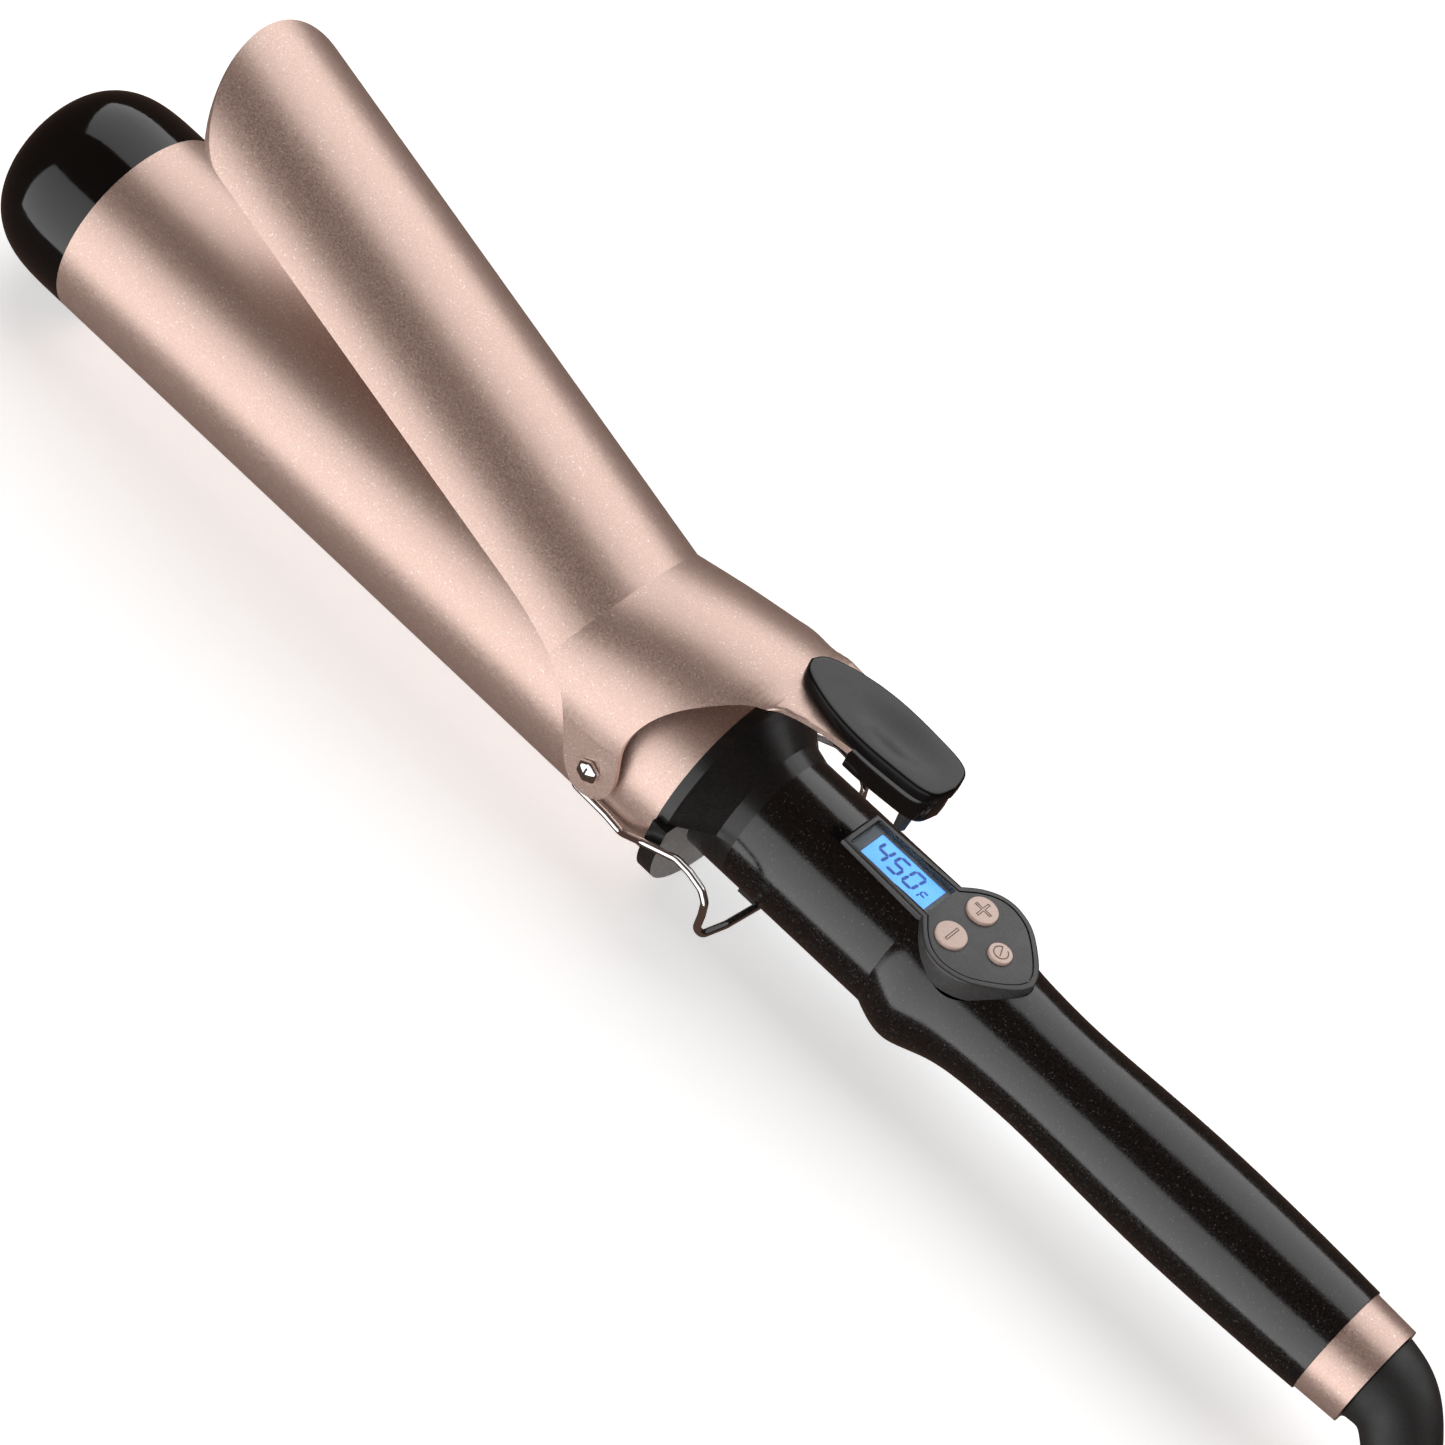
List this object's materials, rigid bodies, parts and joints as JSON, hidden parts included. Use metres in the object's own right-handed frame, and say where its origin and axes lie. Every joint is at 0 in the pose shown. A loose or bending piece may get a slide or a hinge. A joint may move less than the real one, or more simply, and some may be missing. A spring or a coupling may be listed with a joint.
{
  "type": "curling iron",
  "caption": "Round heated barrel with a cool tip and a hinged half-tube clamp, on a slim grip with a lit display, pressing keys, a bent wire stand and a turning cord outlet.",
  "frame": {"origin": "under the middle of the whole object, level with the underside of the collar flange", "axes": "+X runs along the barrel from the cool tip to the cord outlet, +Z points out through the display and the clamp side, +Y lies along the clamp's hinge"},
  "size_m": [0.4484, 0.0594, 0.1026],
  "materials": {
    "rose_metal": "satin, fine grain",
    "cool_black": "gloss",
    "sparkle_black": "gloss with fine sparkle",
    "soft_black": "satin",
    "panel_grey": "satin",
    "rose_plastic": "satin",
    "clear_lens": "gloss",
    "lit_blue": "lit",
    "chrome": "polished",
    "steel": "brushed",
    "aluminium": "satin",
    "ceramic": "matt",
    "board_green": "satin",
    "brass": "satin",
    "wire_cover": "matt",
    "rubber_black": "matt"
  },
  "bodies": {
    "barrel_and_handle": {"barrel_tube": "rose_metal", "tip_cap": "cool_black", "heat_spreader_upper": "aluminium", "heat_spreader_lower": "aluminium", "ceramic_heater": "ceramic", "temperature_sensor": "steel", "thermal_fuse": "steel", "heater_leads": "wire_cover", "collar": "soft_black", "neck_housing": "sparkle_black", "wire_rest": "soft_black", "handle_upper": "sparkle_black", "handle_lower": "sparkle_black", "handle_screws": "steel", "control_fascia": "soft_black", "panel_inlay": "panel_grey", "display_window": "clear_lens", "display_panel": "lit_blue", "circuit_board": "board_green", "tact_switches": "steel", "control_chip": "soft_black", "end_ring": "rose_metal", "swivel_socket": "soft_black", "contact_fingers": "brass", "handle_leads": "wire_cover", "pivot_posts": "steel", "pivot_screws": "chrome", "clamp_spring": "steel"},
    "clamp": {"clamp_lever": "rose_metal", "thumb_rest": "soft_black", "thumb_rest_screws": "steel", "lever_bumper": "rubber_black"},
    "stand": {"stand_wire": "chrome"},
    "plus_key": {"button_plus": "rose_plastic"},
    "minus_key": {"button_minus": "rose_plastic"},
    "power_key": {"button_power": "rose_plastic"},
    "cord_swivel_part": {"swivel_core": "soft_black", "contact_rings": "brass", "strain_relief": "rubber_black"}
  },
  "joints": [
    {"name": "clamp_hinge", "type": "hinge", "parent": "barrel_and_handle", "child": "clamp", "pos_m": [-0.02139, 0, 0.027], "axis": [0, 1, 0], "range_deg": [-17.2, 9], "stiffness_Nm_per_rad": 0.35, "springref_deg": -25.78, "deforming": ["clamp_spring"]},
    {"name": "stand_hinge", "type": "hinge", "parent": "barrel_and_handle", "child": "stand", "pos_m": [-0.02479, 0, 0.0177], "axis": [0, 1, 0], "range_deg": [0, 100]},
    {"name": "plus_press", "type": "slide", "parent": "barrel_and_handle", "child": "plus_key", "axis": [0, 0, -1], "range_m": [0, 0.0005], "stiffness_N_per_m": 800},
    {"name": "minus_press", "type": "slide", "parent": "barrel_and_handle", "child": "minus_key", "axis": [0, 0, -1], "range_m": [0, 0.0005], "stiffness_N_per_m": 800},
    {"name": "power_press", "type": "slide", "parent": "barrel_and_handle", "child": "power_key", "axis": [0, 0, -1], "range_m": [0, 0.0005], "stiffness_N_per_m": 800},
    {"name": "cord_swivel", "type": "hinge", "parent": "barrel_and_handle", "child": "cord_swivel_part", "pos_m": [0.17581, 0, 0.026], "axis": [1, 0, 0], "continuous": true}
  ]
}
